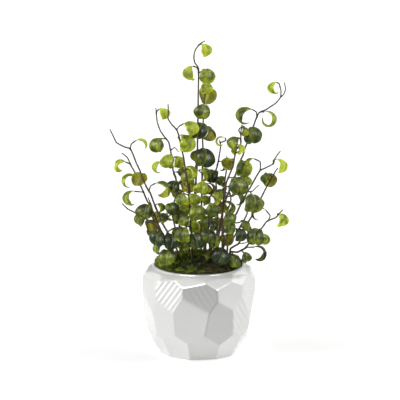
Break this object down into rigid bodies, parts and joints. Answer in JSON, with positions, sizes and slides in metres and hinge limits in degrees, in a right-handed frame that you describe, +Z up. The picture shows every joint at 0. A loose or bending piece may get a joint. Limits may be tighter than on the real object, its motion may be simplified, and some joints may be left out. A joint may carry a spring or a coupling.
{
  "type": "potted weeping fig",
  "caption": "Small weeping fig with curled leaves on thin twigs, in a faceted white ceramic pot with moss",
  "frame": {"origin": "middle of the pot's flat underside", "axes": "+Z up, front facing -Y"},
  "size_m": [0.2663, 0.2181, 0.474],
  "materials": {
    "pot": "glossy white glaze",
    "soil": "crumbly bark compost",
    "moss": "matte, curly strands",
    "foliage": "glossy leaves, dull bark"
  },
  "bodies": {
    "root": {"pot": "pot", "soil": "soil", "moss": "moss", "stem_01": "foliage", "stem_02": "foliage", "stem_03": "foliage", "stem_04": "foliage", "stem_05": "foliage", "stem_06": "foliage", "stem_07": "foliage", "stem_08": "foliage", "stem_09": "foliage", "stem_10": "foliage", "stem_11": "foliage", "stem_12": "foliage", "stem_13": "foliage", "stem_14": "foliage", "stem_15": "foliage", "stem_16": "foliage", "stem_17": "foliage", "stem_18": "foliage", "stem_19": "foliage", "stem_20": "foliage", "stem_21": "foliage", "stem_22": "foliage", "stem_23": "foliage", "stem_24": "foliage"}
  },
  "joints": []
}
